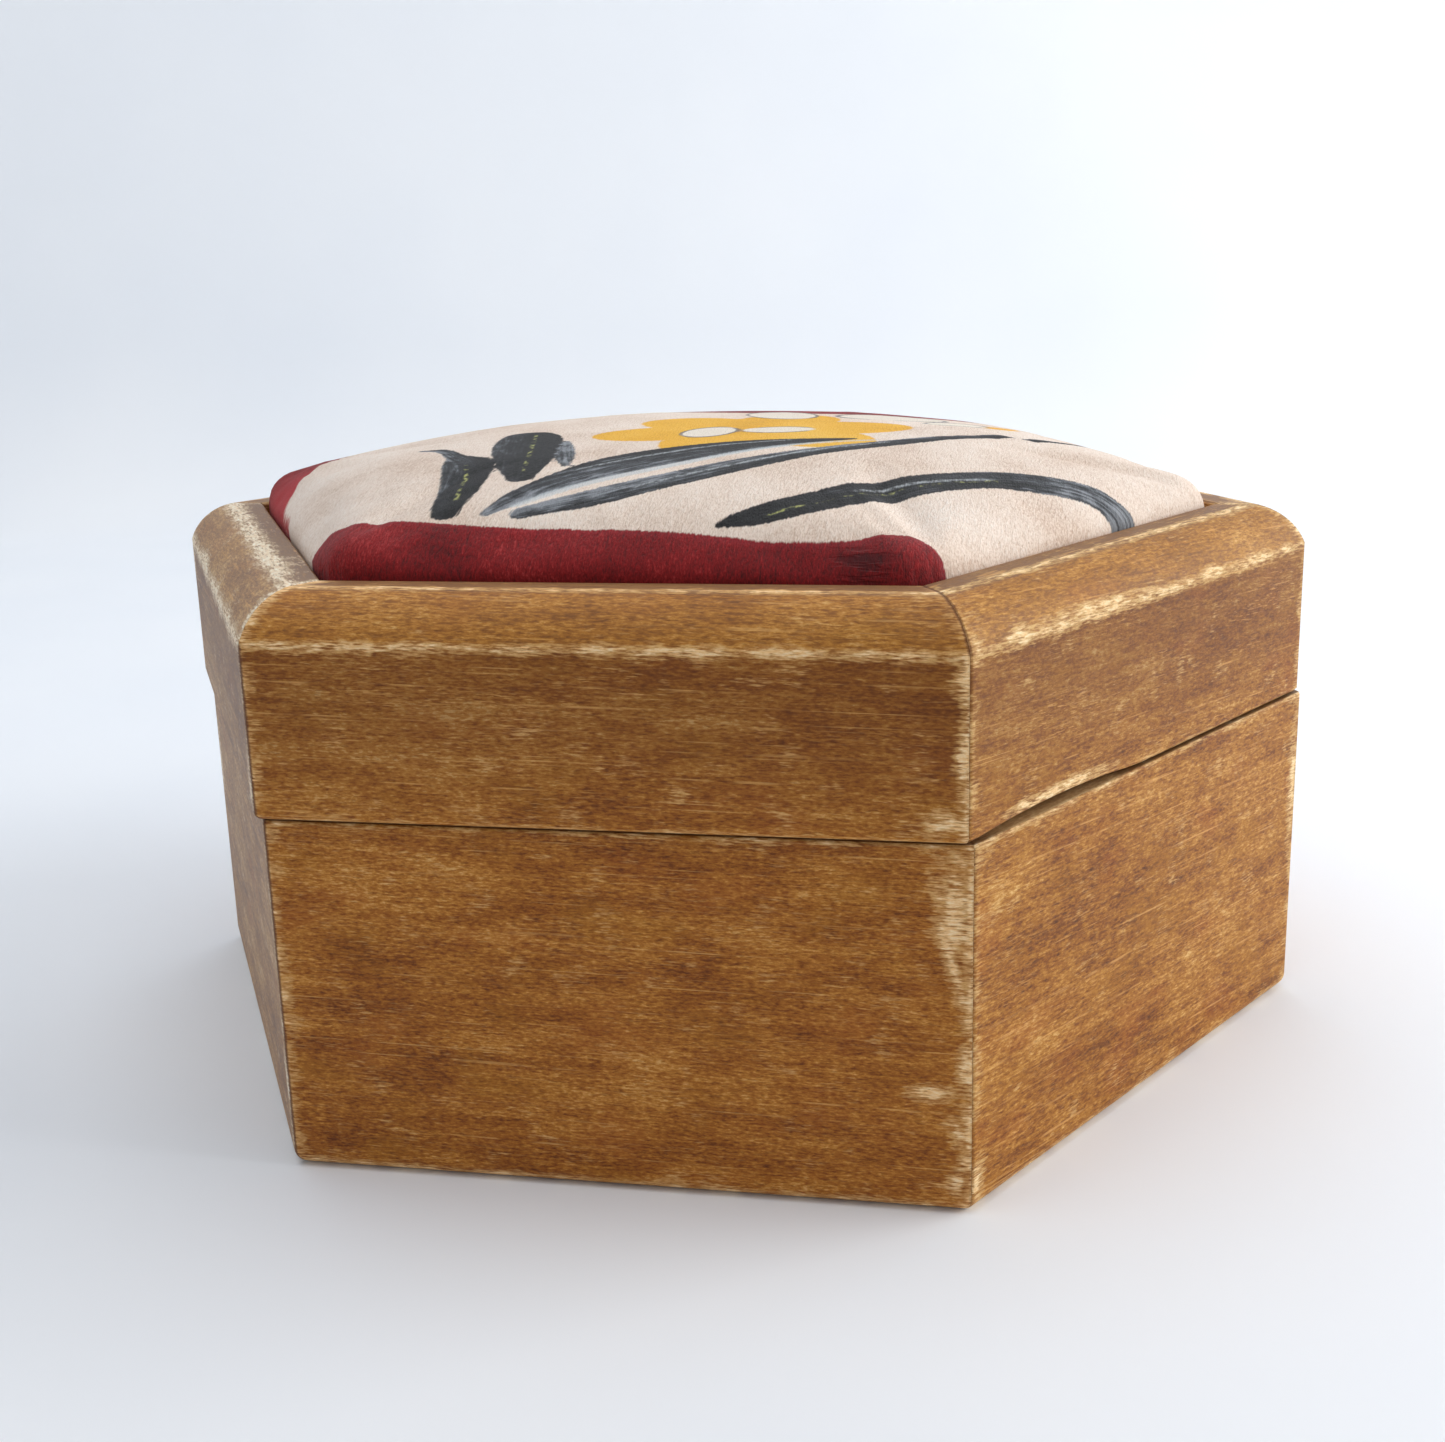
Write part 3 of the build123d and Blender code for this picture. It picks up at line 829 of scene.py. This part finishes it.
def brushed_ink(graph, cloud, fuzz):
    """Charcoal ink with the marks of the brush along each leaf, and its thin veins."""
    run = graph.attribute("leaf_run")
    across = graph.attribute("leaf_across")
    bristle = graph.noise((run, across, 0.0), (9, 0.42, 1), 6, detail=3, roughness=0.6)
    daub = graph.noise((run, across, 0.0), (3.2, 1.3, 1), 7, detail=3, roughness=0.6)
    tone = graph.attribute("leaf_tone") + (bristle - 0.5) * 1.2 + (daub - 0.5) * 1.3
    tone = tone + (cloud - 0.5) * 0.4
    ink = graph.ramp(tone + fuzz * 0.12, [
        (0.10, srgb(18, 18, 20)), (0.44, srgb(32, 33, 36)), (0.66, srgb(66, 69, 74)),
        (0.82, srgb(108, 112, 118)), (1.0, srgb(138, 142, 148)),
    ])
    broken = graph.noise((run, across, 0.0), (1.1, 1.1, 1), 8, detail=2).rise(0.42, 0.58)
    vein = (graph.attribute("vein") + fuzz * 0.3).rise(-0.36, -0.04) * broken
    return graph.mix(vein * 0.85, ink, srgb(186, 188, 112))


def printed_crepe():
    """Silk crepe: cream, with a red border, charcoal leaves and a yellow flower.

    The border is brighter at the far left, a painted sheen of grazing light, and creased by the front
    corner, with painted shade in the creases.
    """
    graph = Graph("printed_crepe")
    x, y, z = graph.place()
    rib = x * math.cos(CREPE_TURN) + y * math.sin(CREPE_TURN)
    across = y * math.cos(CREPE_TURN) - x * math.sin(CREPE_TURN)
    cloth = (rib, across, z)
    crinkle = graph.noise(cloth, (1.3, 0.26, 0.9), 1, detail=3, roughness=0.65, distortion=0.4)
    thread = graph.noise(cloth, (0.5, 0.15, 0.3), 2, detail=2)
    hair = graph.noise(cloth, (1.7, 0.2, 1.2), 3, detail=2)
    cloud = graph.noise(cloth, (15, 11, 11), 4, detail=3)
    fuzz = (hair - 0.5) * 1.2 + (crinkle - 0.5) * 0.6

    grey = 0.5 + (cloud - 0.5) * 0.7 + (crinkle - 0.5) * 0.6 + (thread - 0.5) * 0.6
    ground = graph.ramp(grey, [
        (0.22, srgb(200, 172, 152)), (0.42, srgb(224, 204, 188)), (0.56, srgb(234, 217, 203)),
        (0.80, srgb(242, 231, 221)),
    ])
    fleck = graph.noise(cloth, (0.8, 0.5, 0.8), 5, detail=1).rise(0.73, 0.79)
    ground = graph.mix(fleck * 0.4, ground, srgb(168, 138, 116))

    yellow = (graph.attribute("yellow") + fuzz * 0.6).rise(-0.2, 0.15)
    gold = graph.ramp(0.5 + (cloud - 0.5) * 0.8 + (crinkle - 0.5) * 0.6, [
        (0.2, srgb(206, 146, 24)), (0.5, srgb(234, 176, 40)), (0.8, srgb(240, 194, 84)),
    ])
    colour = graph.mix(yellow, ground, gold)
    white = graph.attribute("white")
    colour = graph.mix((white + fuzz * 0.25).rise(-0.1, 0.15), colour, srgb(232, 222, 208))
    drawn = graph.noise(cloth, (5, 5, 5), 9, detail=1).rise(0.36, 0.50)
    outline = (abs(white) + (hair - 0.5) * 0.35).rise(0.34, 0.10) * drawn
    colour = graph.mix(outline * 0.8, colour, srgb(92, 94, 98))

    leaf = (graph.attribute("leaf") + fuzz * 0.6).rise(-0.20, 0.14)
    colour = graph.mix(leaf, colour, brushed_ink(graph, cloud, fuzz))
    wash = (graph.attribute("wash") + fuzz * 0.5).rise(-0.35, 0.3)
    colour = graph.mix(wash * 0.75, colour, srgb(196, 202, 206))

    edge = graph.attribute("red") + fuzz * 0.5
    dye_tone = 0.5 + (cloud - 0.5) * 0.6 + (crinkle - 0.5) * 0.8 + (thread - 0.5) * 0.6
    dye = graph.ramp(dye_tone, [
        (0.2, srgb(76, 4, 8)), (0.42, srgb(122, 10, 16)), (0.58, srgb(142, 20, 24)),
        (0.82, srgb(184, 62, 62)),
    ])
    rose = edge.rise(RED_HEM, 0.0) * 0.3
    dye = graph.mix(rose, dye, srgb(158, 44, 56))
    # painted sheen: the red at the far left is brightened where grazing window light catches it
    painted_sheen = x.rise(-26.0, -38.0) * y.rise(14.0, 28.0)
    dye = graph.mix(painted_sheen * 0.5, dye, srgb(206, 52, 58))
    colour = graph.mix(edge.rise(-0.15, 0.15), colour, dye)
    # painted shade: the red is darkened towards near black in the creases by the front corner
    crease = graph.noise((x, y, z), (4.0, 4.0, 0.45), 10, detail=2).rise(0.42, 0.58)
    pucker = graph.attribute("pucker").rise(-1.6, 0.8) * z.rise(RIM + 3.4, RIM + 2.0)
    colour = graph.mix(pucker * (0.35 + crease * 0.6), colour, srgb(62, 4, 10))

    normal = graph.bump(crinkle * 0.9 + thread * 0.5 - pucker * crease, 0.2, 1.0)
    return graph.finish(
        colour, 0.82 + (crinkle - 0.5) * 0.2, normal,
        Sheen_Weight=0.06, Sheen_Roughness=0.5, Specular_IOR_Level=0.3,
    )


def refined(points, faces):
    """The surface with each of its faces divided once: its points, and its faces."""
    draft = mesh_object("draft", points * MM, faces)
    draft.modifiers.new("divide", "SUBSURF").levels = 1
    graph = bpy.context.evaluated_depsgraph_get()
    mesh = draft.evaluated_get(graph).to_mesh()
    fine = np.empty(3 * len(mesh.vertices))
    mesh.vertices.foreach_get("co", fine)
    fine_faces = [tuple(face.vertices) for face in mesh.polygons]
    bpy.data.objects.remove(draft)
    return fine.reshape(-1, 3) / MM, fine_faces


def pushed_out(points, faces):
    """The fabric as the stuffing holds it: a cloth simulation, held below the rim of the lid."""
    sheet = mesh_object("sheet", points * MM, faces)
    held = sheet.vertex_groups.new(name="held")
    held.add(np.flatnonzero(points[:, 2] < RIM - HELD_BELOW).tolist(), 1.0, "REPLACE")
    cloth = sheet.modifiers.new("cloth", "CLOTH")
    cloth.settings.quality = 6
    cloth.settings.mass = 0.02
    cloth.settings.tension_stiffness = 12
    cloth.settings.compression_stiffness = 12
    cloth.settings.shear_stiffness = 4
    cloth.settings.bending_stiffness = 0.4
    cloth.settings.use_pressure = True
    cloth.settings.uniform_pressure_force = PUSH
    cloth.settings.vertex_group_mass = "held"
    cloth.settings.effector_weights.gravity = 0
    cloth.collision_settings.use_collision = False
    for number in range(1, PUSH_FRAMES + 1):
        bpy.context.scene.frame_set(number)
    graph = bpy.context.evaluated_depsgraph_get()
    settled = np.empty(3 * len(points))
    sheet.evaluated_get(graph).data.vertices.foreach_get("co", settled)
    bpy.data.objects.remove(sheet)
    bpy.context.scene.frame_set(1)
    return settled.reshape(-1, 3) / MM


def gathered(points, plan):
    """Small pleats where the fabric is pulled round each corner, deepest at the rim."""
    turn = np.arctan2(plan[:, 1], plan[:, 0])
    off_corner = (turn + math.pi / 6) % (math.pi / 3) - math.pi / 6
    slide = off_corner * CUSHION_REACH / COS30
    corner = np.round((turn - off_corner) / (math.pi / 3))
    low_down = np.clip((RIM + GATHER_TOP - points[:, 2]) / GATHER_FADE, 0, 1)
    near = np.exp(-(slide / (0.5 * GATHER_REACH)) ** 2) * low_down ** 1.5
    near = near * (np.hypot(plan[:, 0], plan[:, 1]) > CUSHION_REACH - DOME_SHOULDER)
    wave = np.sin(2 * math.pi * slide / GATHER_STEP + 1.9 * corner)
    wave = wave + 0.5 * np.sin(3.3 * slide + corner)
    outward = np.column_stack([np.cos(turn), np.sin(turn), np.zeros(len(turn))])
    return points + outward * (GATHER_DEPTH * near * (wave - 1.0))[:, None]


def make_cover():
    rings = cover_rings(0.0, PANEL_TOP + REST_GAP, TURN_IN, FABRIC_STEP)
    points = np.concatenate(rings)
    faces = ring_faces(rings)
    flat, fine_faces = refined(points, faces)
    plan = flat[:, :2]
    full = gathered(refined(pushed_out(points, faces), faces)[0], plan)
    cover = mesh_object("cushion_fabric", (full + np.array([LID_SHIFT, 0, 0])) * MM, fine_faces)
    paint_print(cover, plan)
    cover.data.materials.append(printed_crepe())
    thick = cover.modifiers.new("thickness", "SOLIDIFY")
    thick.thickness = COVER * MM
    thick.offset = -1
    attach(cover, "lid")
    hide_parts("cushion_cover")


def make_wadding():
    """The stuffing, closed underneath where it lies on the cushion board."""
    rings = cover_rings(COVER + STUFFING_GAP, BOARD_TOP + REST_GAP, 0.0, STUFFING_STEP)
    faces = ring_faces(rings)
    points = np.concatenate(rings)
    last = len(points) - len(rings[-1])
    faces.append(tuple(reversed(range(last, len(points)))))
    wadding = mesh_object("cushion_stuffing", (points + np.array([LID_SHIFT, 0, 0])) * MM, faces)
    wadding.data.materials.append(wadding_fibre())
    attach(wadding, "lid")
    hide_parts("cushion_wadding")


# ---------------------------------------------------------------- finishing the CAD nodes

def finish_node(name, material):
    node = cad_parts[name]
    node.data.materials.clear()
    node.data.materials.append(material)


def finish_box():
    for turn, wall in enumerate(BOARDS):
        seed = 3.0 + 2.3 * turn
        base = stained_wood(f"stain_base_{wall}", turn, 0.0, wall, base_edges,
                            BASE_PATCHES[wall], seed)
        lid = stained_wood(f"stain_lid_{wall}", turn, LID_SHIFT, wall, lid_edges,
                           LID_PATCHES[wall], seed + 31)
        finish_node(f"base_wall_{wall}", base)
        finish_node(f"lid_wall_{wall}", lid)
    finish_node("base_bottom_panel", plywood("plywood_bottom", 2))
    finish_node("lid_panel", plywood("plywood_lid", 19))
    finish_node("cushion_board", card())


def finish_hinges():
    leaf_metal = brass("brass_leaf", (4, 2, 0.12), 4)
    pin_metal = brass("brass_pin", (0.1, 3, 3), 11)
    screw_metal = brass("brass_screw", (0.4, 0.4, 0.4), 17)
    for side in ("left", "right"):
        finish_node(f"hinge_{side}_base_leaf", leaf_metal)
        finish_node(f"hinge_{side}_lid_leaf", leaf_metal)
        finish_node(f"hinge_{side}_pin", pin_metal)
    finish_node("hinge_screws_base", screw_metal)
    finish_node("hinge_screws_lid", screw_metal)


# ---------------------------------------------------------------- stage, light and camera

def view_axes(turn, height):
    """The view's right, up and back directions."""
    turn, height = math.radians(turn), math.radians(height)
    right = Vector((math.cos(turn), math.sin(turn), 0))
    away = math.cos(height)
    back = Vector((math.sin(turn) * away, -math.cos(turn) * away, math.sin(height)))
    return right, back.cross(right), back


def pale_surface():
    graph = Graph("pale_stage")
    x, y, z = graph.place()
    cloud = graph.noise((x, y, z), (160, 160, 160), 1, detail=3)
    colour = graph.ramp(cloud, [(0.3, srgb(236, 241, 248)), (0.7, srgb(246, 249, 253))])
    return graph.finish(colour, 0.9)


def make_stage():
    """A pale floor that curves up into a backdrop on the far side of the box."""
    wide, deep, tall, bend = 3000.0, 2600.0, 1800.0, 60.0
    steps = 12
    profile = [(-deep, 0.0), (WALL_BEHIND - bend, 0.0)]
    for number in range(1, steps + 1):
        angle = math.pi / 2 * number / steps
        profile.append((WALL_BEHIND - bend + bend * math.sin(angle), bend * (1 - math.cos(angle))))
    profile.append((WALL_BEHIND, tall))
    right, _, back = view_axes(VIEW_TURN, 0)
    points, faces = [], []
    for forward, height in profile:
        for side in (-wide, wide):
            place = right * side - back * forward
            points.append((place.x * MM, place.y * MM, height * MM))
    for row in range(len(profile) - 1):
        first = 2 * row
        faces.append((first, first + 1, first + 3, first + 2))
    stage = mesh_object("stage", points, faces)
    stage.data.materials.append(pale_surface())


def softbox(name, turn, height, distance, size, power, colour):
    """A square light that faces the box: turn and height are as for a view."""
    _, _, back = view_axes(turn, height)
    data = bpy.data.lights.new(name, "AREA")
    data.shape = "SQUARE"
    data.size = size * MM
    data.energy = power
    data.color = colour
    lamp = bpy.data.objects.new(name, data)
    lamp.location = (back * distance + Vector((0, 0, 30))) * MM
    lamp.rotation_euler = back.to_track_quat("Z", "Y").to_euler()
    bpy.context.scene.collection.objects.link(lamp)


def make_lights():
    softbox("window", 42, 20, 900, 700, 7.2, (1.0, 0.985, 0.96))
    softbox("overhead", -120, 80, 900, 900, 3.8, (1.0, 1.0, 1.0))
    softbox("fill", -95, 20, 1000, 900, 0.7, (0.94, 0.97, 1.0))
    world = bpy.data.worlds.new("room")
    world.use_nodes = True
    background = world.node_tree.nodes["Background"]
    background.inputs["Color"].default_value = (0.93, 0.96, 1.0, 1)
    background.inputs["Strength"].default_value = 0.28
    bpy.context.scene.world = world
    bpy.context.scene.view_settings.view_transform = "Standard"


def make_camera():
    right, up, back = view_axes(VIEW_TURN, VIEW_HEIGHT)
    roll = math.radians(VIEW_ROLL)
    rolled_right = right * math.cos(roll) + up * math.sin(roll)
    rolled_up = up * math.cos(roll) - right * math.sin(roll)
    data = bpy.data.cameras.new("camera")
    data.lens = LENS
    data.clip_start = 0.01
    camera = bpy.data.objects.new("camera", data)
    turned = Matrix((rolled_right, rolled_up, back)).transposed().to_4x4()
    place = (Vector(VIEW_TARGET) + back * VIEW_DISTANCE) * MM
    camera.matrix_world = Matrix.Translation(place) @ turned
    bpy.context.scene.collection.objects.link(camera)
    bpy.context.scene.camera = camera


make_camera()
make_stage()
make_lights()
finish_box()
finish_hinges()
make_wadding()
make_cover()
